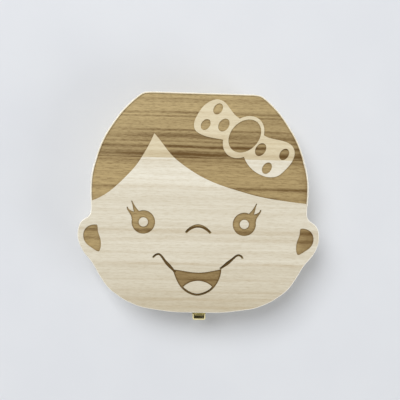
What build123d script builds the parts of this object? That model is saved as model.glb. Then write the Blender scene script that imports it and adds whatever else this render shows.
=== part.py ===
from build123d import *
import math
import os

os.makedirs("parts", exist_ok=True)

# Head-shaped box lying on its back: X across the face, Y towards the hair, Z out of the face.
# The origin is on the underside of the base, under the middle of the head.

# Driving dimensions, millimetres
head_width = 122.0
base_height = 15.0
lid_height = 9.0
glue_line_y = 22.3
edge_round = 0.6
inner_edge_round = 0.3
engrave_depth = 0.5
line_depth = 0.8
hair_rim = 0.8

# Tooth pockets and compartments milled into the base
pocket_count = 20
pocket_width = 9.0
pocket_length = 11.0
pocket_depth = 11.5
pocket_corner = 3.4
pocket_ring_x = 42.5
pocket_ring_y = 40.5
mouth_round = 0.4
bay_width = 44.0
bay_length = 18.0
bay_corner = 4.0
bay_spacing = 22.0
bay_depth = 11.5

# Butt hinges let into the back edge
hinge_x = 18.0
leaf_width = 14.0
leaf_reach = 8.0
leaf_thickness = 0.75
leaf_seat = 0.8
leaf_corner = 0.8
barrel_radius = 1.2
hinge_pin_radius = 0.6
hinge_axis_out = 0.35
knuckle_gap = 0.15
barrel_clearance = 0.2
pin_head_radius = 0.95
pin_head_length = 0.35
pin_head_gap = 0.05
running_clearance = 0.05
seat_clearance = 0.1
screw_spacing = 8.0
screw_inset = 4.6
screw_head_radius = 1.3
screw_radius = 0.7
screw_length = 5.5
screw_tip = 1.0
screw_clearance = 0.04
cross_width = 0.32
cross_length = 1.6
cross_depth = 0.35

# Snap clasp on the chin
clasp_x = 0.85
clasp_width = 6.5
clasp_front = 4.3
brass_thickness = 0.6
inner_bend = 0.4
axle_rise = 4.6
axle_out = 1.5
axle_radius = 0.4
knuckle_radius = 0.85
knuckle_width = 4.6
ear_radius = 0.7
flap_top_rise = 0.45
flap_drop = 8.0
bill_drop = 1.7
bill_flare = 1.2
bill_corner = 0.8
lid_plate_start = 1.4
lid_plate_end = 8.3
catch_plate_start = 1.6
catch_plate_end = 10.4
plate_corner = 0.8
nose_drop = 6.0
nose_radius = 0.6
nose_width = 4.2
lip_drop = 7.2
lip_radius = 0.9
snap_clearance = 0.15
lid_nail_rise = 7.3
catch_nail_drop = 3.2
nail_spacing = 3.8
nail_radius = 0.45
nail_length = 4.2
nail_head_radius = 0.7
nail_head_height = 0.3
nail_head_round = 0.2

# Outline of the right half of the head, in shares of the head's width, with the heading at each point
outline_shares = [
    (0.205, 0.454, 0), (0.258, 0.441, -38), (0.299, 0.405, -44), (0.3525, 0.341, -56), (0.3975, 0.269, -63),
    (0.4285, 0.190, -73), (0.450, 0.0985, -84), (0.4515, 0.033, -91), (0.4467, -0.033, -91),
    (0.453, -0.060, -55), (0.4787, -0.0803, -38), (0.500, -0.1393, -90), (0.478, -0.2066, -122),
    (0.4426, -0.250, -129), (0.4148, -0.295, -121), (0.3787, -0.3484, -130), (0.3197, -0.3967, -146),
    (0.2582, -0.427, -158), (0.164, -0.4467, -172), (0.0697, -0.455, -180),
]

# Hair line, from the left side of the head up to the parting and down to the right side
fringe_left_shares = [
    (-0.480, -0.014), (-0.431, 0.004), (-0.397, 0.022), (-0.343, 0.065), (-0.302, 0.107),
    (-0.266, 0.149), (-0.240, 0.190), (-0.218, 0.230), (-0.195, 0.281),
]
fringe_right_shares = [
    (-0.195, 0.281), (-0.155, 0.234), (-0.121, 0.193), (-0.072, 0.153), (-0.006, 0.112),
    (0.080, 0.075), (0.164, 0.050), (0.248, 0.029), (0.332, 0.016), (0.400, 0.008), (0.480, 0.002),
]
hair_top_shares = (0.480, 0.480)

# Bow: two lobes, a tilted oval knot and six tilted oval spots
left_lobe_shares = [
    (0.154, 0.354), (0.115, 0.392), (0.080, 0.425), (0.063, 0.4285), (0.037, 0.422), (0.009, 0.403),
    (-0.020, 0.361), (-0.0325, 0.326), (-0.028, 0.301), (-0.012, 0.287), (0.034, 0.271), (0.089, 0.262),
]
right_lobe_shares = [
    (0.257, 0.286), (0.308, 0.269), (0.360, 0.256), (0.379, 0.242), (0.3885, 0.214), (0.382, 0.186),
    (0.347, 0.140), (0.320, 0.118), (0.288, 0.1115), (0.252, 0.119), (0.212, 0.143), (0.1755, 0.199),
]
knot_rim_share = (0.174, 0.2755)
knot_rim_size_shares = (0.099, 0.072)
knot_share = (0.179, 0.280)
knot_size_shares = (0.0775, 0.058)
knot_tilt = 47.0
spot_size_shares = (0.0248, 0.0178)
spot_tilt = 57.0
spot_shares = [
    (0.0656, 0.389, 1.0), (0.0156, 0.323, 1.0), (0.091, 0.323, 1.17),
    (0.246, 0.2255, 1.17), (0.345, 0.208, 1.04), (0.274, 0.149, 1.04),
]

# Eyes, nose and mouth; a stroke's third number is its width as a share of the head's width
left_eye_share = (-0.232, -0.0845)
right_eye_share = (0.185, -0.086)
eye_radius = 5.9
eye_white_radius = 2.3
long_lash_shares = [(0.020, 0.032, 0.022), (0.034, 0.050, 0.016), (0.042, 0.068, 0.008), (0.050, 0.0865, 0.004)]
short_lash_shares = [(0.032, 0.012, 0.034), (0.0425, 0.0315, 0.024), (0.0585, 0.0445, 0.0095), (0.0675, 0.061, 0.005)]
nose_shares = [
    (-0.0565, -0.1255, 0.009), (-0.036, -0.106, 0.0125), (-0.0065, -0.0965, 0.0145),
    (0.024, -0.106, 0.0125), (0.0465, -0.1265, 0.009),
]
nose_line_shares = [
    (-0.0565, -0.1255, 0.0075), (-0.034, -0.1065, 0.008), (-0.0075, -0.1005, 0.007),
    (0.020, -0.1055, 0.008), (0.0465, -0.1265, 0.0075),
]
smile_left_shares = [
    (-0.1895, -0.2305, 0.008), (-0.1805, -0.2205, 0.0085), (-0.1665, -0.2155, 0.0085),
    (-0.1535, -0.2245, 0.009), (-0.139, -0.244, 0.0105), (-0.1235, -0.261, 0.0135),
    (-0.108, -0.2765, 0.010), (-0.096, -0.290, 0.011),
]
smile_right_shares = [
    (0.181, -0.2285, 0.008), (0.1735, -0.2175, 0.0085), (0.1625, -0.2145, 0.0085),
    (0.149, -0.2215, 0.009), (0.135, -0.2345, 0.0105), (0.119, -0.248, 0.0135),
    (0.103, -0.2605, 0.010), (0.088, -0.272, 0.009),
]
mouth_top_shares = [(-0.1075, -0.277), (-0.059, -0.2835), (-0.005, -0.289), (0.050, -0.283), (0.0935, -0.273)]
mouth_low_share = (-0.004, -0.3845)
mouth_bottom_shares = [
    (0.0935, -0.273), (0.088, -0.309), (0.074, -0.338), (0.049, -0.3655), (0.027, -0.3775), mouth_low_share,
    (-0.035, -0.3775), (-0.069, -0.354), (-0.094, -0.313), (-0.1075, -0.277),
]
mouth_line = 1.1
tongue_left_share = (-0.0645, -0.3515)
tongue_top_share = (-0.004, -0.323)
tongue_right_share = (0.0605, -0.3495)
ear_hollow_shares = [
    (0.424, -0.099), (0.450, -0.103), (0.467, -0.1155), (0.476, -0.139), (0.472, -0.163), (0.459, -0.181),
    (0.441, -0.194), (0.424, -0.205), (0.411, -0.2085), (0.4055, -0.199), (0.403, -0.180), (0.4065, -0.154),
    (0.417, -0.1195),
]

box_height = base_height + lid_height
crown_y = outline_shares[0][1] * head_width
chin_y = outline_shares[-1][1] * head_width
hinge_y = crown_y + hinge_axis_out
leaf_front = crown_y - leaf_reach
screw_y = crown_y - screw_inset
knuckle_length = (leaf_width - 2 * knuckle_gap) / 3
barrel_length = leaf_width + 2 * (pin_head_gap + pin_head_length)
axle_y = chin_y - axle_out
axle_height = base_height + axle_rise
wall_inner = clasp_front - brass_thickness
bend_radius = inner_bend + brass_thickness
ear_inset = brass_thickness + knuckle_gap
ear_top = axle_height + ear_radius
flap_top = axle_height + flap_top_rise
flap_bottom = base_height - flap_drop
nose_height = base_height - nose_drop
nose_out = wall_inner - lip_radius - snap_clearance - nose_radius
lip_height = base_height - lip_drop
lid_nail_height = base_height + lid_nail_rise
catch_nail_height = base_height - catch_nail_drop
bay_y = 0.0


def place(share, side=1):
    """A point of the face in millimetres from its shares; side -1 mirrors it."""
    return (side * share[0] * head_width, share[1] * head_width)


def points(shares, side=1):
    return [place(share, side) for share in shares]


def arc_pair(start, end, side):
    """Two tangent arcs between two outline points, each keeping the heading given there."""
    p0 = Vector(*place(start, side))
    p1 = Vector(*place(end, side))
    t0 = Vector(side, 0).rotate(Axis.Z, side * start[2])
    t1 = Vector(side, 0).rotate(Axis.Z, side * end[2])
    chord = p1 - p0
    along = chord.dot(t0 + t1)
    turn = 2 * (1 - t0.dot(t1))
    if turn > 0:
        reach = (math.sqrt(along**2 + turn * chord.dot(chord)) - along) / turn
    else:
        reach = chord.dot(chord) / (2 * along)
    middle = (p0 + p1 + (t0 - t1) * reach) * 0.5
    first = TangentArc(p0, middle, tangent=t0)
    return [first, TangentArc(middle, p1, tangent=first % 1)]


def head_face():
    """Closed outline of the head: flat crown and chin, and a skull, notch and ear on each side."""
    lines = [Line(place(outline_shares[0], -1), place(outline_shares[0]))]
    lines += [Line(place(outline_shares[-1], -1), place(outline_shares[-1]))]
    for side in (1, -1):
        for start, end in zip(outline_shares[:-1], outline_shares[1:]):
            lines += arc_pair(start, end, side)
    return make_face(lines)


def head_block(bottom, height):
    """The head outline as a board blank."""
    return extrude(Pos(0, 0, bottom) * head_face(), height)


def eased(block, bottom_round, top_round):
    """The blank with its bottom and top edges sanded round."""
    block = fillet(block.faces().sort_by(Axis.Z)[0].edges(), bottom_round)
    return fillet(block.faces().sort_by(Axis.Z)[-1].edges(), top_round)


def stroke(shares, side=1, origin=(0, 0)):
    """A burnt line that follows its points, each with its own width."""
    centre = [(origin[0] + place(share, side)[0], origin[1] + place(share, side)[1]) for share in shares]
    spine = Spline(centre)
    left = []
    right = []
    for share, point in zip(shares, centre):
        heading = spine.tangent_at(spine.param_at_point(Vector(*point)))
        half = share[2] * head_width / 2
        left += [(point[0] - heading.Y * half, point[1] + heading.X * half)]
        right += [(point[0] + heading.Y * half, point[1] - heading.X * half)]
    ends = [Line(left[0], right[0]), Line(left[-1], right[-1])]
    return make_face([Spline(left), Spline(right)] + ends)


def oval(centre, sizes, tilt):
    return Pos(*place(centre)) * Rot(0, 0, tilt) * Ellipse(sizes[0] * head_width, sizes[1] * head_width)


def bow_lobe(shares):
    """One lobe of the bow, closed through the middle of the knot."""
    rim = points(shares)
    middle = place(knot_share)
    return make_face([Spline(rim), Line(rim[-1], middle), Line(middle, rim[0])])


def hair_region():
    """Hair burnt to just inside the outline, with the bow left standing and its spots burnt."""
    corner = place(hair_top_shares)
    left = points(fringe_left_shares)
    right = points(fringe_right_shares)
    above = make_face([
        Spline(left),
        Spline(right),
        Polyline(right[-1], corner, (-corner[0], corner[1]), left[0]),
    ])
    hair = above & offset(head_face(), -hair_rim)
    hair -= bow_lobe(left_lobe_shares) + bow_lobe(right_lobe_shares)
    hair -= oval(knot_rim_share, knot_rim_size_shares, knot_tilt)
    hair += oval(knot_share, knot_size_shares, knot_tilt)
    for x_share, y_share, size in spot_shares:
        spot_size = [share * size for share in spot_size_shares]
        hair += oval((x_share, y_share), spot_size, spot_tilt)
    return hair


def eye_region(centre, side):
    """A ring with a bare middle and two lashes on its outer side."""
    middle = place(centre)
    ring = Pos(*middle) * Circle(eye_radius)
    ring += stroke(long_lash_shares, side, middle)
    ring += stroke(short_lash_shares, side, middle)
    return ring - Pos(*middle) * Circle(eye_white_radius)


def mouth_face():
    return make_face([Spline(points(mouth_top_shares)), Spline(points(mouth_bottom_shares))])


def mouth_inside():
    """The mouth's lower edge moved inwards by the width of its line, closed across the top."""
    rim = points(mouth_bottom_shares)
    edge = Spline(rim)
    inner = []
    for point in rim:
        heading = edge.tangent_at(edge.param_at_point(Vector(*point)))
        inner += [(point[0] + heading.Y * mouth_line, point[1] - heading.X * mouth_line)]
    return make_face([Spline(inner), Line(inner[-1], inner[0])])


def tongue_region():
    """Bare tongue: an arc above, and below it a line of even width is left to the mouth's edge."""
    left = place(tongue_left_share)
    right = place(tongue_right_share)
    below = make_face([
        ThreePointArc(left, place(tongue_top_share), right),
        Polyline(right, (right[0], chin_y), (left[0], chin_y), left),
    ])
    return below & mouth_inside()


def mouth_region():
    """Open laughing mouth with the tongue left standing."""
    return mouth_face() - tongue_region()


def mouth_line_region():
    """The line under the tongue, between its two corners."""
    reach = (tongue_right_share[0] - tongue_left_share[0]) * head_width
    height = (tongue_left_share[1] - mouth_low_share[1]) * head_width
    band = Pos(*place(mouth_low_share)) * Rectangle(reach, 2 * height)
    return (mouth_face() & band) - mouth_inside()


def ear_region(side):
    return make_face(Spline(points(ear_hollow_shares, side), periodic=True))


def burnt(region, depth):
    """Cutter that burns a region of the face to its depth below the top of the lid."""
    return extrude(Pos(0, 0, box_height - depth) * region, 2 * depth)


def burnt_areas():
    """Hair, mouth, nose, eyes and ear hollows."""
    regions = [hair_region(), mouth_region(), stroke(nose_shares)]
    regions += [eye_region(left_eye_share, -1), eye_region(right_eye_share, 1)]
    regions += [ear_region(1), ear_region(-1)]
    return [burnt(region, engrave_depth) for region in regions]


def burnt_lines():
    """Lines that the laser drew in one go, a little deeper than the areas."""
    regions = [stroke(smile_left_shares), stroke(smile_right_shares), stroke(nose_line_shares), mouth_line_region()]
    return [burnt(region, line_depth) for region in regions]


def boards(block, bottom, height):
    """The blank parted along its glue line into the upper and the lower board."""
    reach = 2 * head_width
    above = Pos(0, glue_line_y + reach / 2, bottom + height / 2) * Box(reach, reach, 2 * height)
    return block & above, block - above


def hinge_cuts():
    """Seats, barrel grooves and screw pilots of both hinges, cut alike into the base and the lid."""
    cuts = []
    length = crown_y + barrel_radius - leaf_front + seat_clearance
    for x in (-hinge_x, hinge_x):
        seat = Box(leaf_width + 2 * seat_clearance, length, 2 * leaf_seat)
        cuts += [Pos(x, leaf_front - seat_clearance + length / 2, base_height) * seat]
        groove = Cylinder(barrel_radius + barrel_clearance, barrel_length + 2 * barrel_clearance)
        cuts += [Pos(x, hinge_y, base_height) * Rot(0, 90, 0) * groove]
        for dx in (-screw_spacing / 2, screw_spacing / 2):
            pilot = Cylinder(screw_radius + screw_clearance, 2 * (leaf_seat + screw_length + screw_clearance))
            cuts += [Pos(x + dx, screw_y, base_height) * pilot]
    return cuts


def nail_pilots(height):
    """Two nail holes in the chin."""
    pilot = Cylinder(nail_radius + screw_clearance, 2 * nail_length)
    turn = Rot(90, 0, 0)
    return [Pos(clasp_x + dx, chin_y, height) * turn * pilot for dx in (-nail_spacing / 2, nail_spacing / 2)]


def pocket_places():
    """Where the pockets stand around the oval and how far each is turned."""
    places = []
    for index in range(pocket_count):
        angle = 360 / pocket_count * (index + 0.5)
        ring = Vector(pocket_ring_x, 0).rotate(Axis.Z, angle)
        x = ring.X
        y = ring.Y * pocket_ring_y / pocket_ring_x
        outward = Vector(x / pocket_ring_x**2, y / pocket_ring_y**2)
        places += [(x, y, outward.get_signed_angle(Vector(1, 0), Vector(0, 0, -1)))]
    return places


def hollow(width, length, corner, depth):
    """A milled hollow below the base's top face, with its mouth eased."""
    shape = extrude(RectangleRounded(width, length, corner), -depth)
    lip = extrude(RectangleRounded(width + 2 * mouth_round, length + 2 * mouth_round, corner + mouth_round),
                  -mouth_round, taper=45)
    return Pos(0, 0, base_height) * (shape + lip)


def base_boards():
    """Base milled from an edge-glued panel: pockets round the oval and two bays in the middle."""
    block = eased(head_block(0, base_height), edge_round, inner_edge_round)
    cuts = [Pos(x, y, 0) * Rot(0, 0, turn) * hollow(pocket_length, pocket_width, pocket_corner, pocket_depth)
            for x, y, turn in pocket_places()]
    for y in (bay_y - bay_spacing / 2, bay_y + bay_spacing / 2):
        cuts += [Pos(0, y, 0) * hollow(bay_width, bay_length, bay_corner, bay_depth)]
    block = block - (cuts + hinge_cuts() + nail_pilots(catch_nail_height))
    return boards(block, 0, base_height)


def lid_boards():
    """Lid cut from an edge-glued panel, with the face burnt into its top."""
    block = eased(head_block(base_height, lid_height), inner_edge_round, edge_round)
    block = block - (burnt_areas() + hinge_cuts() + nail_pilots(lid_nail_height))
    for line in burnt_lines():
        block = block - line
    return boards(block, base_height, lid_height)


def barrel(length, centre_x, radius):
    return Pos(centre_x, hinge_y, base_height) * Rot(0, 90, 0) * Cylinder(radius, length)


def hinge_leaf(x, side):
    """One leaf of a butt hinge: side -1 carries the two outer knuckles, side 1 the middle one."""
    step = knuckle_length + knuckle_gap
    own = [x] if side > 0 else [x - step, x + step]
    other = [x - step, x + step] if side > 0 else [x]
    length = hinge_y - leaf_front
    z = base_height + side * (leaf_seat - leaf_thickness / 2)
    plate = Pos(x, leaf_front + length / 2, z) * Box(leaf_width, length, leaf_thickness)
    front = [edge for edge in plate.edges().filter_by(Axis.Z) if edge.center().Y < screw_y]
    plate = fillet(front, leaf_corner)
    gap = knuckle_length + 2 * knuckle_gap
    plate -= [barrel(gap, centre, barrel_radius + knuckle_gap) for centre in other]
    for centre in own:
        plate += barrel(knuckle_length, centre, barrel_radius)
    plate -= barrel(leaf_width, x, hinge_pin_radius + running_clearance)
    for dx in (-screw_spacing / 2, screw_spacing / 2):
        sink = hinge_screw_body(screw_clearance, side)
        plate -= Pos(x + dx, screw_y, 0) * sink
    return plate


def hinge_screw_body(extra, side):
    """Countersunk wood screw with its head flush with the leaf; extra widens it into its hole."""
    face = base_height + side * (leaf_seat - leaf_thickness)
    head = Pos(0, 0, -leaf_thickness / 2) * Cone(screw_radius + extra, screw_head_radius + extra, leaf_thickness)
    shank_length = screw_length - screw_tip
    shank = Pos(0, 0, -leaf_thickness - shank_length / 2) * Cylinder(screw_radius + extra, shank_length)
    tip = Pos(0, 0, -leaf_thickness - shank_length - screw_tip / 2) * Cone(cross_width / 2, screw_radius, screw_tip)
    turn = Rot(180, 0, 0) if side > 0 else Rot(0, 0, 0)
    return Pos(0, 0, face) * turn * (head + shank + tip)


def hinge_screws(side):
    """The four cross-head screws of the leaves on one side."""
    screws = []
    face = base_height + side * (leaf_seat - leaf_thickness)
    for x in (-hinge_x, hinge_x):
        for dx in (-screw_spacing / 2, screw_spacing / 2):
            spot = Pos(x + dx, screw_y, 0)
            cross = Box(cross_length, cross_width, 2 * cross_depth) + Box(cross_width, cross_length, 2 * cross_depth)
            screws += [spot * hinge_screw_body(0, side) - spot * Pos(0, 0, face) * cross]
    return Compound(children=screws)


def hinge_pin(x):
    """Pin through the three knuckles, with a flat head outside each end."""
    pin = barrel(barrel_length, x, hinge_pin_radius)
    for end in (-1, 1):
        centre = x + end * (leaf_width / 2 + pin_head_gap + pin_head_length / 2)
        pin += barrel(pin_head_length, centre, pin_head_radius)
    return pin


def clasp_plate(bottom, top):
    """Flat brass plate against the chin."""
    height = top - bottom
    plate = Box(clasp_width, brass_thickness, height)
    plate = fillet(plate.edges().filter_by(Axis.Y), plate_corner)
    return Pos(clasp_x, chin_y - brass_thickness / 2, bottom + height / 2) * plate


def nail_holes(height):
    hole = Cylinder(nail_radius + screw_clearance, 4 * brass_thickness)
    return [Pos(clasp_x + dx, chin_y, height) * Rot(90, 0, 0) * hole for dx in (-nail_spacing / 2, nail_spacing / 2)]


def cross_bar(width, radius, out, height):
    return Pos(clasp_x, chin_y - out, height) * Rot(0, 90, 0) * Cylinder(radius, width)


def clasp_lid_plate():
    """Lid plate whose middle is curled into the knuckle that holds the axle."""
    plate = clasp_plate(base_height + lid_plate_start, base_height + lid_plate_end)
    web_length = axle_out - brass_thickness / 2
    web = Box(knuckle_width, web_length, knuckle_radius)
    plate += Pos(clasp_x, axle_y + web_length / 2, axle_height) * web
    plate += cross_bar(knuckle_width, knuckle_radius, axle_out, axle_height)
    plate -= cross_bar(clasp_width, axle_radius + running_clearance, axle_out, axle_height)
    return plate - nail_holes(lid_nail_height)


def clasp_catch_plate():
    """Base plate with the rounded nose that the flap snaps under."""
    plate = clasp_plate(base_height - catch_plate_end, base_height - catch_plate_start)
    web_length = nose_out - brass_thickness / 2
    web = Box(nose_width, web_length, 2 * nose_radius)
    plate += Pos(clasp_x, chin_y - nose_out + web_length / 2, nose_height) * web
    plate += cross_bar(nose_width, nose_radius, nose_out, nose_height)
    return plate - nail_holes(catch_nail_height)


def flap_section(corners, width, x):
    """A flap piece drawn in the plane of the clasp's side view and given a width along X."""
    outline = Polyline([(0, chin_y - out, height) for out, height in corners], close=True)
    return Pos(x - width / 2, 0, 0) * extrude(make_face(outline), width, dir=(1, 0, 0))


def flap_channel(width, out, corner):
    """Upright block before the chin with its two front edges bent round."""
    height = ear_top - flap_bottom
    block = Pos(clasp_x, chin_y - out / 2, flap_bottom + height / 2) * Box(width, out, height)
    return fillet(block.edges().filter_by(Axis.Z).group_by(Axis.Y)[0], corner)


def flap_bill():
    """Flared lower end of the flap, for the fingertip, with rounded corners."""
    width = clasp_width - 2 * bend_radius
    tip_inner = (wall_inner + bill_flare, flap_bottom - bill_drop)
    tip_outer = (clasp_front + bill_flare, flap_bottom - bill_drop + brass_thickness / 3)
    bill = flap_section([(wall_inner, flap_bottom), (clasp_front, flap_bottom), tip_outer, tip_inner], width, clasp_x)
    ends = bill.faces().sort_by(Axis.Z)[0].edges().filter_by(Axis.X, reverse=True)
    return fillet(ends, bill_corner)


def clasp_flap():
    """U-shaped flap: front wall, two side ears round the axle, inner lip and flared bill."""
    side = [
        (axle_out, flap_top), (clasp_front, flap_top), (clasp_front, flap_bottom), (wall_inner, flap_bottom),
        (ear_inset, base_height), (ear_inset, axle_height), (axle_out, axle_height),
    ]
    profile = flap_section(side, clasp_width, clasp_x) + cross_bar(clasp_width, ear_radius, axle_out, axle_height)
    inside = flap_channel(clasp_width - 2 * brass_thickness, wall_inner, inner_bend)
    flap = (flap_channel(clasp_width, clasp_front, bend_radius) & profile) - inside + flap_bill()
    keep = [(0, flap_top), (clasp_front, flap_top), (clasp_front, 0), (0, 0)]
    flap += cross_bar(nose_width, lip_radius, wall_inner, lip_height) & flap_section(keep, clasp_width, clasp_x)
    return flap - cross_bar(2 * clasp_width, axle_radius + running_clearance, axle_out, axle_height)


def clasp_axle():
    """Axle through the knuckle and both ears, ending flush with the flap."""
    return cross_bar(clasp_width, axle_radius, axle_out, axle_height)


def clasp_nails(height):
    """Two round-headed brass nails through a plate into the chin."""
    nails = []
    for dx in (-nail_spacing / 2, nail_spacing / 2):
        shank = Pos(0, 0, -nail_length / 2) * Cylinder(nail_radius, nail_length)
        head = Pos(0, 0, brass_thickness + nail_head_height / 2) * Cylinder(nail_head_radius, nail_head_height)
        head = fillet(head.edges().sort_by(Axis.Z)[-1], nail_head_round)
        neck = Pos(0, 0, brass_thickness / 2) * Cylinder(nail_radius, brass_thickness)
        nails += [Pos(clasp_x + dx, chin_y, height) * Rot(90, 0, 0) * (shank + neck + head)]
    return Compound(children=nails)


base_upper_board, base_lower_board = base_boards()
lid_upper_board, lid_lower_board = lid_boards()
pieces = {
    "base_lower_board": base_lower_board,
    "base_upper_board": base_upper_board,
    "lid_lower_board": lid_lower_board,
    "lid_upper_board": lid_upper_board,
    "hinge_left_base_leaf": hinge_leaf(-hinge_x, -1),
    "hinge_right_base_leaf": hinge_leaf(hinge_x, -1),
    "hinge_left_lid_leaf": hinge_leaf(-hinge_x, 1),
    "hinge_right_lid_leaf": hinge_leaf(hinge_x, 1),
    "hinge_left_pin": hinge_pin(-hinge_x),
    "hinge_right_pin": hinge_pin(hinge_x),
    "hinge_base_screws": hinge_screws(-1),
    "hinge_lid_screws": hinge_screws(1),
    "clasp_lid_plate": clasp_lid_plate(),
    "clasp_lid_nails": clasp_nails(lid_nail_height),
    "clasp_axle": clasp_axle(),
    "clasp_flap": clasp_flap(),
    "clasp_catch_plate": clasp_catch_plate(),
    "clasp_catch_nails": clasp_nails(catch_nail_height),
}
for name, piece in pieces.items():
    export_step(piece, f"parts/{name}.step")
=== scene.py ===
import bpy
import math
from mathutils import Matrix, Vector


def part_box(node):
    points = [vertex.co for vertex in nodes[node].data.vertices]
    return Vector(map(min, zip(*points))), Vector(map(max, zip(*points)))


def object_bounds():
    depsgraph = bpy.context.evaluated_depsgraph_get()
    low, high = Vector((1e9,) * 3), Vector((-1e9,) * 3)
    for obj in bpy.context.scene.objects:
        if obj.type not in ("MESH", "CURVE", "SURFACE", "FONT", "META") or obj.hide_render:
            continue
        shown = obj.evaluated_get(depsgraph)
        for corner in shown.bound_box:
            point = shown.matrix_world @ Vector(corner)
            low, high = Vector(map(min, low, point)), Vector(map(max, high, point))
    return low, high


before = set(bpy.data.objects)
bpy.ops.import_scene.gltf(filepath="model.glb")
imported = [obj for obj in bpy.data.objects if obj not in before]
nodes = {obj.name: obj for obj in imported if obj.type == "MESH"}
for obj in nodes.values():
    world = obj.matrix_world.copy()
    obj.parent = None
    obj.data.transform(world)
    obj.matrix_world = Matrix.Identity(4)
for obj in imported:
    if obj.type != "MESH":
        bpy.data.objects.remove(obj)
cad_low, cad_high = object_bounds()

# Base: two sanded pine boards glued edge to edge and milled with the pockets and bays.
# The grain runs from ear to ear, the wood is bare, and the milled hollows get a painted shade, strongest in
# their most enclosed corners.
# Grain and heights are written in millimetres; reaches and bump depths are in metres.
pale_lower = (234, 229, 213)
pale_upper = (226, 215, 185)
grain_lower = (190, 174, 142)
grain_upper = (192, 172, 133)
# Painted shade: the colour and share that darken the milled hollows, more where they are enclosed.
painted_hollow_shade = (172, 148, 108)
painted_hollow_shade_share = 0.35
hollow_heights = (14.4, 9.0)
hollow_reach = 0.009
hollow_shade = (0.95, 0.4)
base_rings = 8.0
base_shares = (0.6, 0.35, 0.2)
base_relief = 0.35
base_lower_cut = (31.0, 12.0, 40.0)
base_upper_cut = (-12.0, 87.0, 9.0)
to_millimetres = (1000, 1000, 1000)
middle_grey = 0.5


def linear(colour):
    """Linear light for a colour written as it looks, 0 to 255."""
    shares = [part / 255 for part in colour]
    return tuple(s / 12.92 if s <= 0.04045 else ((s + 0.055) / 1.055) ** 2.4 for s in shares) + (1.0,)


class Shop:
    """A node tree with short ways to add a node, a sum, a colour mix, a band or a noise."""

    def __init__(self, tree):
        self.tree = tree

    def feed(self, socket, value):
        if hasattr(value, "is_output"):
            self.tree.links.new(value, socket)
        else:
            socket.default_value = value

    def add(self, kind, inputs=None, **settings):
        node = self.tree.nodes.new(kind)
        for name, value in settings.items():
            setattr(node, name, value)
        for name, value in (inputs or {}).items():
            self.feed(node.inputs[name], value)
        return node

    def sum(self, operation, a, b=0.0, c=0.0, clamp=False):
        node = self.tree.nodes.new("ShaderNodeMath")
        node.operation = operation
        node.use_clamp = clamp
        for socket, value in zip(node.inputs, (a, b, c)):
            self.feed(socket, value)
        return node.outputs[0]

    def mix(self, share, a, b, blend="MIX"):
        node = self.tree.nodes.new("ShaderNodeMix")
        node.data_type = "RGBA"
        node.blend_type = blend
        node.clamp_factor = True
        for index, value in ((0, share), (6, a), (7, b)):
            self.feed(node.inputs[index], value)
        return node.outputs[2]

    def band(self, value, start, end, low=0.0, high=1.0):
        """Runs smoothly from low to high while the value goes from start to end."""
        node = self.tree.nodes.new("ShaderNodeMapRange")
        node.interpolation_type = "SMOOTHSTEP"
        for index, number in enumerate((value, start, end, low, high)):
            self.feed(node.inputs[index], number)
        return node.outputs[0]

    def noise(self, vector, scale=1.0, detail=2.0, roughness=0.5, dimensions="3D"):
        name = "W" if dimensions == "1D" else "Vector"
        inputs = {name: vector, "Scale": scale, "Detail": detail, "Roughness": roughness}
        return self.add("ShaderNodeTexNoise", inputs, noise_dimensions=dimensions).outputs[0]

    def stretch(self, vector, scale, shift=(0.0, 0.0, 0.0)):
        inputs = {"Vector": vector, "Scale": scale, "Location": shift}
        return self.add("ShaderNodeMapping", inputs).outputs[0]

    def parts(self, vector):
        return tuple(self.add("ShaderNodeSeparateXYZ", {"Vector": vector}).outputs)

    def openness(self, reach, samples, own_only):
        """Gives 1 on open surfaces, and less in corners within reach."""
        settings = {"samples": samples, "only_local": own_only}
        return self.add("ShaderNodeAmbientOcclusion", {"Distance": reach}, **settings).outputs["AO"]


def new_group(name, inputs, outputs):
    """An empty shader node group with its named sockets."""
    tree = bpy.data.node_groups.new(name, "ShaderNodeTree")
    for socket, kind, value in inputs:
        made = tree.interface.new_socket(socket, in_out="INPUT", socket_type=kind)
        if value is not None:
            made.default_value = value
    for socket, kind in outputs:
        tree.interface.new_socket(socket, in_out="OUTPUT", socket_type=kind)
    shop = Shop(tree)
    return tree, shop, shop.add("NodeGroupInput"), shop.add("NodeGroupOutput")


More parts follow.
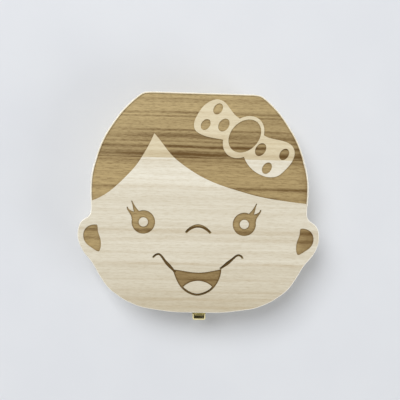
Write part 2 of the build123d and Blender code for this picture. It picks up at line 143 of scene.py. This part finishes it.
def pine_grain_group():
    """Grain of a board that lies along X, in millimetres: broad rings, fine streaks, pores and year rings."""
    drift_scale = (0.006, 0.03, 0.03)
    drift_reach = 7.0
    ring_lean = 0.45
    streak_scale = (0.022, 0.9, 0.8)
    dash_scale = (0.36, 2.5, 2.3)
    hair_scale = (0.11, 6.5, 6.0)
    hair_share = 0.5
    heart_depth = 70.0
    year = 3.1
    year_drift = 1.2
    darkening = (0.25, 0.92)
    year_end = (1.0, 0.95)
    usual_rings = 7.0
    tree, shop, given, out = new_group(
        "pine_grain",
        [("Place", "NodeSocketVector", None), ("Ring Spacing", "NodeSocketFloat", usual_rings)],
        [("Rings", "NodeSocketFloat"), ("Streaks", "NodeSocketFloat"), ("Pores", "NodeSocketFloat"),
         ("Years", "NodeSocketFloat")],
    )
    place = given.outputs["Place"]
    drift = shop.sum("MULTIPLY", shop.noise(shop.stretch(place, drift_scale)), drift_reach)
    across = shop.parts(place)
    depth = shop.sum("MULTIPLY_ADD", across[2], ring_lean, across[1])
    ring_place = shop.sum("DIVIDE", shop.sum("ADD", depth, drift), given.outputs["Ring Spacing"])
    rings = shop.noise(ring_place, roughness=0.55, dimensions="1D")
    streaks = shop.noise(shop.stretch(place, streak_scale), detail=4.0, roughness=0.6)
    dashes = shop.noise(shop.stretch(place, dash_scale), detail=3.0, roughness=0.65)
    hairs = shop.noise(shop.stretch(place, hair_scale), roughness=0.6)
    pores = shop.sum("MULTIPLY_ADD", shop.sum("SUBTRACT", hairs, middle_grey), hair_share, dashes)
    from_heart = shop.sum("ADD", across[2], heart_depth)
    aside = shop.sum("MULTIPLY", across[1], across[1])
    squares = shop.sum("MULTIPLY_ADD", from_heart, from_heart, aside)
    radius = shop.sum("MULTIPLY_ADD", drift, year_drift, shop.sum("SQRT", squares))
    season = shop.sum("FRACT", shop.sum("DIVIDE", radius, year))
    years = shop.sum("MULTIPLY", shop.band(season, *darkening), shop.band(season, *year_end))
    for name, value in (("Rings", rings), ("Streaks", streaks), ("Pores", pores), ("Years", years)):
        shop.feed(out.inputs[name], value)
    return tree


pine_grain = pine_grain_group()


def wood_start(name, cut, ring_spacing):
    """A material with the pine grain placed in it, and the values that the next steps use."""
    material = bpy.data.materials.new(name)
    material.use_nodes = True
    shop = Shop(material.node_tree)
    shader = material.node_tree.nodes["Principled BSDF"]
    where = shop.add("ShaderNodeTexCoord").outputs["Object"]
    in_tree = shop.stretch(where, to_millimetres, cut)
    grain_inputs = {"Place": in_tree, "Ring Spacing": ring_spacing}
    grain = shop.add("ShaderNodeGroup", grain_inputs, node_tree=pine_grain)
    place = shop.stretch(where, to_millimetres)
    facing = shop.add("ShaderNodeNewGeometry").outputs["True Normal"]
    own = shop.add("ShaderNodeVectorTransform", {"Vector": facing}, vector_type="NORMAL",
                   convert_from="WORLD", convert_to="OBJECT").outputs[0]
    upright = shop.parts(own)[2]
    return material, shop, shader, grain, place, upright


def wood_finish(shop, shader, grain, colour, relief):
    """Dry sanded surface: dull, with the grain standing very slightly proud."""
    fibre_height = 0.0001
    wood_shine = 0.2
    pore_share = 0.7
    streak_range = (0.3, 0.7)
    roughness_range = (0.62, 0.5)
    streaks = grain.outputs["Streaks"]
    height = shop.sum("MULTIPLY_ADD", grain.outputs["Pores"], pore_share, streaks)
    bump = shop.add("ShaderNodeBump", {"Strength": relief, "Distance": fibre_height, "Height": height})
    shop.feed(shader.inputs["Base Color"], colour)
    shop.feed(shader.inputs["Roughness"], shop.band(streaks, *streak_range, *roughness_range))
    shop.feed(shader.inputs["Normal"], bump.outputs[0])
    shader.inputs["Specular IOR Level"].default_value = wood_shine


def grain_share(shop, grain, ring_share, streak_share, pore_share):
    """How far the wood is darkened along its rings, streaks and pores."""
    ring_range = (0.40, 0.72)
    streak_range = (0.36, 0.68)
    pore_range = (0.42, 0.70)
    rings = shop.band(grain.outputs["Rings"], *ring_range, 0.0, ring_share)
    streaks = shop.band(grain.outputs["Streaks"], *streak_range, 0.0, streak_share)
    pores = shop.band(grain.outputs["Pores"], *pore_range, 0.0, pore_share)
    return shop.sum("ADD", shop.sum("ADD", rings, streaks), pores, clamp=True)


def side_grain(shop, grain, upright, colour, pale, dark):
    """Year rings on the standing faces: arcs on the ends and lines along the front and back."""
    side_shares = (0.25, 0.16, 0.24)
    year_share = 0.42
    standing_range = (0.5, 0.15)
    share = grain_share(shop, grain, *side_shares)
    share = shop.sum("MULTIPLY_ADD", grain.outputs["Years"], year_share, share, clamp=True)
    cut = shop.mix(share, linear(pale), linear(dark))
    return shop.mix(shop.band(shop.sum("ABSOLUTE", upright), *standing_range), colour, cut)


def base_wood(name, pale, dark, cut):
    """Bare board of the base, with painted shade in the deep milled hollows."""
    material, shop, shader, grain, place, upright = wood_start(name, cut, base_rings)
    colour = shop.mix(grain_share(shop, grain, *base_shares), linear(pale), linear(dark))
    colour = side_grain(shop, grain, upright, colour, pale, dark)
    # Painted shade in the deep hollows, from how enclosed the surface is within the reach.
    depth = shop.band(shop.parts(place)[2], *hollow_heights)
    inside = shop.band(shop.openness(hollow_reach, samples=8, own_only=True), *hollow_shade)
    shaded_hollow = shop.sum("MULTIPLY", depth, inside, clamp=True)
    colour = shop.mix(shop.sum("MULTIPLY", shaded_hollow, painted_hollow_shade_share), colour, linear(painted_hollow_shade))
    wood_finish(shop, shader, grain, colour, base_relief)
    return material


def dress(name, material):
    """Gives a CAD node its material in place of the plain one."""
    slots = nodes[name].data.materials
    slots.clear()
    slots.append(material)


dress("base_lower_board", base_wood("pine_base_lower", pale_lower, grain_lower, base_lower_cut))
dress("base_upper_board", base_wood("pine_base_upper", pale_upper, grain_upper, base_upper_cut))

# Hinges: two small brass-plated butt hinges with three knuckles, let into the back edge.
# Their pins and the countersunk cross-head screws are of the same plated stock.
brass_bright = (222, 212, 162)
# The darker brass colours stand for painted shade in corners together with tarnish.
brass_shade_tarnish = (120, 106, 56)
screw_bright = (214, 184, 122)
screw_shade_tarnish = (120, 96, 58)
corner_reach = 0.0024


def shade_and_wear_group():
    """Bright brass on what stands proud, painted shade in the corners, random tarnish blotches and fine
    rubbing scratches.
    """
    corner_shade = (0.9, 0.35)
    blotch_range = (0.5, 0.9)
    blotch_scale = 0.9
    blotch_share = 0.25
    rub_stretch = (7.0, 1.0, 0.8)
    rub_scale = 1.6
    tree, shop, given, out = new_group(
        "brass_shade_and_wear",
        [("Place", "NodeSocketVector", None), ("Reach", "NodeSocketFloat", corner_reach)],
        [("Shade and Tarnish", "NodeSocketFloat"), ("Scratches", "NodeSocketFloat")],
    )
    place = given.outputs["Place"]
    # Painted shade in corners enclosed within the reach.
    corner = shop.band(shop.openness(given.outputs["Reach"], samples=8, own_only=False), *corner_shade)
    clouds = shop.noise(place, blotch_scale, detail=3.0, roughness=0.6)
    blotch = shop.band(clouds, *blotch_range, 0.0, blotch_share)
    scratches = shop.noise(shop.stretch(place, rub_stretch), rub_scale, detail=3.0, roughness=0.7)
    shop.feed(out.inputs["Shade and Tarnish"], shop.sum("ADD", corner, blotch, clamp=True))
    shop.feed(out.inputs["Scratches"], scratches)
    return tree


brass_shade_and_wear = shade_and_wear_group()


def brass_material(name, bright, shade_tarnish_colour, roughness, age_and_shade=0.0):
    """Plated brass with painted shade and tarnish in its corners, darkened all over by its age share."""
    scratch_depth = 0.00004
    scratch_strength = 0.15
    scratch_roughness = 0.25
    polish = 0.1
    tarnish_roughness = 0.2
    metal_share = 0.8
    material = bpy.data.materials.new(name)
    material.use_nodes = True
    shop = Shop(material.node_tree)
    shader = material.node_tree.nodes["Principled BSDF"]
    where = shop.add("ShaderNodeTexCoord").outputs["Object"]
    shade_and_wear = shop.add("ShaderNodeGroup", {"Place": shop.stretch(where, to_millimetres)}, node_tree=brass_shade_and_wear)
    scratches = shade_and_wear.outputs["Scratches"]
    # Painted corner shade, tarnish blotches and the age share mix the bright brass towards the darker colour.
    shade_and_tarnish = shop.sum("ADD", shade_and_wear.outputs["Shade and Tarnish"], age_and_shade, clamp=True)
    shop.feed(shader.inputs["Base Color"], shop.mix(shade_and_tarnish, linear(bright), linear(shade_tarnish_colour)))
    rough = shop.sum("MULTIPLY_ADD", scratches, scratch_roughness, roughness - polish)
    rough = shop.sum("MULTIPLY_ADD", shade_and_tarnish, tarnish_roughness, rough)
    shop.feed(shader.inputs["Roughness"], rough)
    bump_inputs = {"Strength": scratch_strength, "Distance": scratch_depth, "Height": scratches}
    bump = shop.add("ShaderNodeBump", bump_inputs)
    shop.feed(shader.inputs["Normal"], bump.outputs[0])
    shader.inputs["Metallic"].default_value = metal_share
    return material


hinge_brass = brass_material("brass_hinge", brass_bright, brass_shade_tarnish, roughness=0.42, age_and_shade=0.3)
for side in ("left", "right"):
    for piece in ("base_leaf", "lid_leaf", "pin"):
        dress(f"hinge_{side}_{piece}", hinge_brass)
screw_brass = brass_material("brass_screws", screw_bright, screw_shade_tarnish, roughness=0.28)
dress("hinge_base_screws", screw_brass)
dress("hinge_lid_screws", screw_brass)

# Lid: two more boards of the panel, with the face burnt by laser into the outer side.
# The burnt floor is browner where the wood is dense; the drawn lines lie deeper and are nearly charred.
# A growth line is given by its height, half width and strength, a tone step by its start, end and share.
# The rounded outer edge: paler from sanding, with a painted highlight on top.
sanded_edge_highlight = (252, 248, 236)
# Multiplied in by the bare tone steps: painted shade that darkens the lower board towards the chin, and a
# darker streak near the glue line on the upper board.
shade_and_streak_tint = (217, 210, 196)
late_wood = (176, 152, 112)
burnt_upper = (197, 175, 127)
burnt_lower = (188, 165, 117)
burnt_dark = (96, 70, 30)
scorch = (100, 76, 34)
charred = (92, 70, 30)
# Thin lines are less charred, and are lightened further as painted light against the shade deep in narrow
# grooves.
charred_thin_painted_light = (205, 188, 140)
hair_scorch = 0.06
eye_scorch = 0.5
smile_scorch = 1.0
scorch_reach = 0.0013
rim_shade = (0.96, 0.82)
rim_share = 0.8
narrow_shade = (0.55, 0.20)
lid_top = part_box("lid_lower_board")[1][2] * to_millimetres[2]
area_depth = 0.5
line_depth = 0.8
depth_ease = 0.03
face_sides = (42.0, 38.0)
face_heights = (10.0, 5.0)
ear_heights = (-6.0, -9.0)
ear_share = 0.4
smile_heights = (-22.0, -25.0)
lid_rings = 9.0
bare_shares = (0.14, 0.22, 0.28)
burnt_shares = (0.10, 0.20, 0.42)
bare_line_share = 0.45
burnt_line_share = 1.6
sanded_edge_highlight_share = 0.9
lid_relief = 0.4
lid_lower_cut = (4.0, -33.0, 5.0)
lid_upper_cut = (57.0, 21.0, 3.0)
lower_lines = [
    (20.9, 0.9, 0.3), (7.3, 1.5, 0.55), (2.6, 1.2, 0.2), (-5.2, 0.7, 0.15),
    (-14.6, 1.7, 0.6), (-18.8, 1.5, 0.45), (-25.3, 0.9, 0.25), (-31.0, 1.4, 0.65),
    (-38.8, 1.0, 0.4), (-45.2, 1.0, 0.45), (-48.9, 1.5, 0.5), (-52.7, 0.9, 0.45),
]
upper_lines = [
    (51.9, 1.0, 0.25), (45.1, 1.1, 0.45), (43.2, 0.9, 0.35), (40.2, 2.2, 0.15),
    (36.2, 1.0, 0.45), (33.4, 2.8, 0.45), (30.6, 0.9, 0.35), (28.0, 1.4, 0.7),
    (25.6, 0.8, 0.35), (24.1, 1.7, 0.8), (22.5, 0.5, 0.9),
]
# On the lower board these bare steps are painted shade, darker towards the chin.
lower_bare_steps = [(8.5, 4.5, 0.30), (-29.5, -32.5, 0.22), (-40.0, -54.0, 0.35)]
upper_bare_steps = [(30.0, 23.0, 0.25)]
lower_burnt_steps = [(18.5, 22.2, 0.2), (0.0, -4.0, 0.13), (-30.0, -33.0, 0.32)]
upper_burnt_steps = [(50.0, 36.0, 0.10), (33.0, 25.0, 0.22)]
lower_side_steps = [(-34.0, -4.0, 0.12), (49.0, 57.0, 0.34)]
upper_side_steps = [(-34.0, -4.0, 0.05), (12.0, 26.0, 0.09), (44.0, 54.0, 0.42)]


def growth_lines(shop, place, grain, lines):
    """Single dark growth lines right across the lid, each at its height, half width and strength."""
    cloud_scale = (0.03, 0.25, 0.25)
    cloud_range = (0.30, 0.60)
    cloud_least = 0.55
    left_range = (-48.0, -8.0)
    left_least = 0.65
    wander_scale = 0.03
    fibre_range = (0.30, 0.66)
    fibre_shares = (0.75, 1.2)
    x, y = shop.parts(place)[:2]
    clouds = shop.band(shop.noise(shop.stretch(place, cloud_scale)), *cloud_range, cloud_least)
    fading = shop.sum("MULTIPLY", clouds, shop.band(x, *left_range, left_least))
    wander = shop.noise(shop.sum("MULTIPLY", x, wander_scale), dimensions="1D")
    bent = shop.sum("ADD", y, shop.sum("SUBTRACT", wander, middle_grey))
    total = 0.0
    for height, half_width, strength in lines:
        off = shop.sum("ABSOLUTE", shop.sum("SUBTRACT", bent, height))
        total = shop.sum("ADD", total, shop.band(off, half_width, 0.0, 0.0, strength), clamp=True)
    fibres = shop.band(grain.outputs["Pores"], *fibre_range, *fibre_shares)
    return shop.sum("MULTIPLY", shop.sum("MULTIPLY", total, fading), fibres)


def tone_steps(shop, where, steps):
    """Shares added one after another as the place on the face passes each step."""
    total = 0.0
    for start, end, share in steps:
        total = shop.sum("ADD", total, shop.band(where, start, end, 0.0, share), clamp=True)
    return total


def burnt_masks(shop, height, upright):
    """Masks of the burnt floors, the deeper lines, the recess walls and the rounded outer edge, sanded pale
    and given a painted highlight.
    """
    outer_side = (lid_top - 2.0, lid_top - 1.5)
    flat_range = (0.90, 0.97)
    standing_range = (0.10, 0.04)
    tilted_ranges = ((0.995, 0.9), (0.05, 0.3))
    floor_heights = (lid_top - 0.6 * area_depth, lid_top - 0.8 * area_depth)
    middle = lid_top - (area_depth + line_depth) / 2
    line_heights = (middle + depth_ease, middle - depth_ease)
    wall_heights = (lid_top - 1.05 * line_depth, lid_top - line_depth)
    corner_shade = (0.92, 0.80)
    open_range = (0.86, 0.96)
    flat = shop.sum("MULTIPLY", shop.band(upright, *flat_range), shop.band(height, *outer_side))
    floor = shop.sum("MULTIPLY", flat, shop.band(height, *floor_heights))
    line = shop.sum("MULTIPLY", flat, shop.band(height, *line_heights))
    near = shop.openness(scorch_reach, samples=16, own_only=True)
    standing = shop.band(shop.sum("ABSOLUTE", upright), *standing_range)
    wall = shop.sum("MULTIPLY", standing, shop.band(height, *wall_heights))
    wall = shop.sum("MULTIPLY", wall, shop.band(near, *corner_shade))
    tilted = [shop.band(upright, *tilt) for tilt in tilted_ranges]
    # Rounded outer edge away from corners: sanded pale and given a painted highlight.
    worn_edge_highlight = shop.sum("MULTIPLY", shop.sum("MULTIPLY", *tilted), shop.band(near, *open_range))
    return floor, line, wall, near, worn_edge_highlight


def toasting(shop, x, y):
    """How hard the laser scorched the recess edges: hardly in the hair, most at the smile."""
    aside = shop.sum("ABSOLUTE", x)
    features = shop.sum("MAXIMUM", shop.band(aside, *face_sides), shop.band(y, *ear_heights, 0.0, ear_share))
    drawn = shop.sum("MULTIPLY", features, shop.band(y, *face_heights))
    smile = shop.sum("MULTIPLY", shop.band(aside, *face_sides), shop.band(y, *smile_heights))
    toasted = shop.sum("MULTIPLY_ADD", drawn, eye_scorch - hair_scorch, hair_scorch)
    return shop.sum("MULTIPLY_ADD", smile, smile_scorch - eye_scorch, toasted)


def lid_wood(name, pale, dark, burnt, cut, lines, bare_steps, burnt_steps, side_steps):
    """Lid board: bare wood outside, burnt wherever the surface is a recess of the outer side."""
    material, shop, shader, grain, place, upright = wood_start(name, cut, lid_rings)
    x, y, z = shop.parts(place)
    lined = growth_lines(shop, place, grain, lines)
    floor, line, wall, near, worn_edge_highlight = burnt_masks(shop, z, upright)
    toasted = toasting(shop, x, y)
    bare = shop.mix(grain_share(shop, grain, *bare_shares), linear(pale), linear(dark))
    # Painted shade darker towards the chin on the lower board; a darker streak near the glue line on the
    # upper.
    bare = shop.mix(tone_steps(shop, y, bare_steps), bare, linear(shade_and_streak_tint), "MULTIPLY")
    bare = shop.mix(shop.sum("MULTIPLY", lined, bare_line_share), bare, linear(late_wood))
    bare = side_grain(shop, grain, upright, bare, pale, dark)
    # Sanded edge paler, plus a painted highlight along its rounding.
    bare = shop.mix(shop.sum("MULTIPLY", worn_edge_highlight, sanded_edge_highlight_share), bare, linear(sanded_edge_highlight))
    char = shop.mix(grain_share(shop, grain, *burnt_shares), linear(burnt), linear(burnt_dark))
    char = shop.mix(tone_steps(shop, x, side_steps), char, linear(burnt_dark))
    char = shop.mix(tone_steps(shop, y, burnt_steps), char, linear(burnt_dark))
    char = shop.mix(shop.sum("MULTIPLY", lined, burnt_line_share, clamp=True), char, linear(burnt_dark))
    edge = shop.band(near, *rim_shade, 0.0, rim_share)
    char = shop.mix(shop.sum("MULTIPLY", edge, toasted), char, linear(scorch))
    # Painted light: the narrower the groove, the lighter its char, to offset the shade inside it.
    drawn = shop.mix(shop.band(near, *narrow_shade), linear(charred), linear(charred_thin_painted_light))
    char = shop.mix(line, char, drawn)
    colour = shop.mix(floor, bare, char)
    colour = shop.mix(shop.sum("MULTIPLY", wall, toasted), colour, linear(scorch))
    wood_finish(shop, shader, grain, colour, lid_relief)
    return material


lower_wood = lid_wood("pine_lid_lower", pale_lower, grain_lower, burnt_lower, lid_lower_cut,
                      lower_lines, lower_bare_steps, lower_burnt_steps, lower_side_steps)
upper_wood = lid_wood("pine_lid_upper", pale_upper, grain_upper, burnt_upper, lid_upper_cut,
                      upper_lines, upper_bare_steps, upper_burnt_steps, upper_side_steps)
dress("lid_lower_board", lower_wood)
dress("lid_upper_board", upper_wood)

# Clasp: pressed brass sheet, nailed to the chin with round-headed brass nails.
# The flap hangs on an axle through the lid plate's curl and snaps under the nose below.
flap_shade_tarnish = (130, 114, 58)
plate_shade_tarnish = (108, 98, 42)
nail_bright = (216, 194, 136)
nail_shade_tarnish = (124, 104, 58)
clasp_brass = brass_material("brass_clasp", brass_bright, flap_shade_tarnish, roughness=0.3)
for piece in ("clasp_flap", "clasp_axle"):
    dress(piece, clasp_brass)
# Painted shade: the lid and catch plates are darkened all over for the shade and dark reflection under the
# lid's edge.
plate_brass_shaded = brass_material("brass_plates_shaded", brass_bright, plate_shade_tarnish, roughness=0.34, age_and_shade=0.75)
for piece in ("clasp_lid_plate", "clasp_catch_plate"):
    dress(piece, plate_brass_shaded)
nail_brass = brass_material("brass_nails", nail_bright, nail_shade_tarnish, roughness=0.26)
for piece in ("clasp_lid_nails", "clasp_catch_nails"):
    dress(piece, nail_brass)

# Table top: a plain pale sheet that the box lies on, which fades to white far away.
# It is no part of the object.
table_half = 3.0
table_gap = 0.00005
table_cool = (0.70, 0.72, 0.76, 1.0)
table_pale = (0.75, 0.77, 0.80, 1.0)
mottle_scale = 25.0
table_roughness = 0.85
fade_distances = (0.25, 1.3)
white = (1.0, 1.0, 1.0, 1.0)
table_mesh = bpy.data.meshes.new("table_top")
ways = ((-1, -1), (1, -1), (1, 1), (-1, 1))
corners = [(x * table_half, y * table_half, cad_low[2] - table_gap) for x, y in ways]
table_mesh.from_pydata(corners, [], [(0, 1, 2, 3)])
table = bpy.data.objects.new("table_top", table_mesh)
bpy.context.scene.collection.objects.link(table)
table_paint = bpy.data.materials.new("table_white")
table_paint.use_nodes = True
table_shop = Shop(table_paint.node_tree)
table_shader = table_paint.node_tree.nodes["Principled BSDF"]
table_where = table_shop.add("ShaderNodeTexCoord").outputs["Object"]
mottle = table_shop.noise(table_where, mottle_scale)
table_shop.feed(table_shader.inputs["Base Color"], table_shop.mix(mottle, table_cool, table_pale))
table_shader.inputs["Roughness"].default_value = table_roughness
away = table_shop.add("ShaderNodeVectorMath", {0: table_where}, operation="LENGTH").outputs["Value"]
far = table_shop.band(away, *fade_distances)
table_ray = table_shop.add("ShaderNodeLightPath").outputs
watched = table_shop.sum("MAXIMUM", table_ray["Is Camera Ray"], table_ray["Is Glossy Ray"])
haze = table_shop.add("ShaderNodeEmission", {"Color": white, "Strength": 1.0}).outputs[0]
faded = table_shop.add("ShaderNodeMixShader", {0: table_shop.sum("MULTIPLY", far, watched)})
table_shop.feed(faded.inputs[1], table_shader.outputs[0])
table_shop.feed(faded.inputs[2], haze)
table_shop.feed(table_paint.node_tree.nodes["Material Output"].inputs["Surface"], faded.outputs[0])
table_mesh.materials.append(table_paint)

# Light: one large soft lamp above the upper left of the face, a weak low one at the right, and a white room.
# The level is plain, so that a colour renders about as it is written.
room_glow = 0.36
world = bpy.data.worlds.new("room")
world.use_nodes = True
room = Shop(world.node_tree)
room_ray = room.add("ShaderNodeLightPath").outputs
seen = room.sum("MAXIMUM", room_ray["Is Camera Ray"], room_ray["Is Glossy Ray"])
room_sky = world.node_tree.nodes["Background"]
room_sky.inputs[0].default_value = white
room.feed(room_sky.inputs[1], room.sum("MULTIPLY_ADD", seen, 1.0 - room_glow, room_glow))
bpy.context.scene.world = world


def soft_lamp(name, place, size, power):
    """A square soft box that faces the middle of the head."""
    light = bpy.data.lights.new(name, "AREA")
    light.shape = "SQUARE"
    light.size = size
    light.energy = power
    lamp = bpy.data.objects.new(name, light)
    bpy.context.scene.collection.objects.link(lamp)
    lamp.location = place
    outward = lamp.location.normalized()
    lamp.rotation_euler = outward.to_track_quat("Z", "Y").to_euler()


soft_lamp("window", place=(-0.6, 0.8, 1.45), size=1.0, power=22.5)
soft_lamp("fill", place=(1.3, -0.7, 0.6), size=0.9, power=8.4)

# Camera: straight above the face and slightly to the left of it, as the photograph was taken.
# The focal length is that of a square frame with the box filling six tenths of its width.
camera_data = bpy.data.cameras.new("camera")
camera_data.sensor_width = 36.0
camera_data.lens = 50.4
camera_data.clip_start = 0.01
camera_data.clip_end = 20.0
camera = bpy.data.objects.new("camera", camera_data)
bpy.context.scene.collection.objects.link(camera)
camera.location = (-0.01227, 0.00105, 0.3057)
camera.rotation_euler = (0.0, math.radians(-2.47), math.radians(1.29))
bpy.context.scene.camera = camera
bpy.context.scene.view_settings.view_transform = "Standard"
